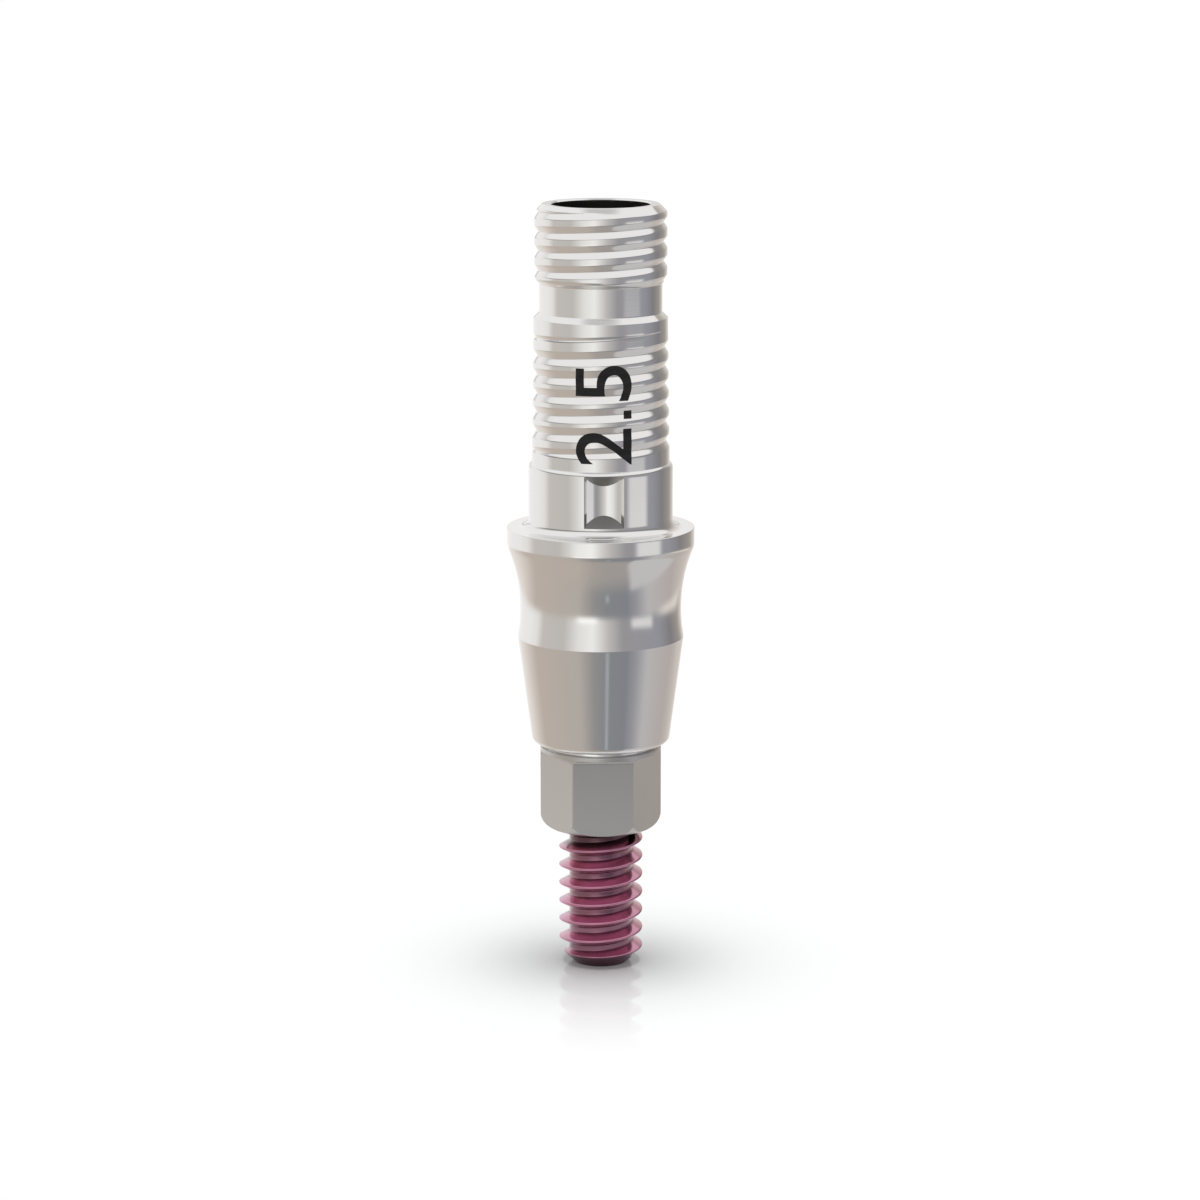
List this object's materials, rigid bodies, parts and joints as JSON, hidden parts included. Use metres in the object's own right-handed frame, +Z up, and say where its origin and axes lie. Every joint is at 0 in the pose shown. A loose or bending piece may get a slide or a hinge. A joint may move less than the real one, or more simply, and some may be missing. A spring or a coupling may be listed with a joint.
{
  "type": "dental implant abutment",
  "caption": "Straight dental abutment: sealing cone and hex under a waisted gum collar, grooved chimney with a threaded top, and a retaining screw that turns in it.",
  "frame": {"origin": "on the axis, at the sharp edge where the sealing cone begins, which is level with the implant's platform", "axes": "+Z up the chimney, -Z into the implant; the milled slot and one flat of the hex face -Y"},
  "size_m": [0.0044, 0.0044, 0.0182],
  "materials": {
    "titanium": "turned and polished titanium, satin on the hex's flats",
    "anodised_titanium": "anodised rose, bright",
    "marking": "black laser mark"
  },
  "bodies": {
    "abutment": {"abutment_body": "titanium"},
    "screw": {"abutment_screw": "anodised_titanium"}
  },
  "joints": [
    {"name": "screw_turn", "type": "hinge", "parent": "abutment", "child": "screw", "pos_m": [0, 0, 0], "axis": [0, 0, 1], "continuous": true}
  ]
}
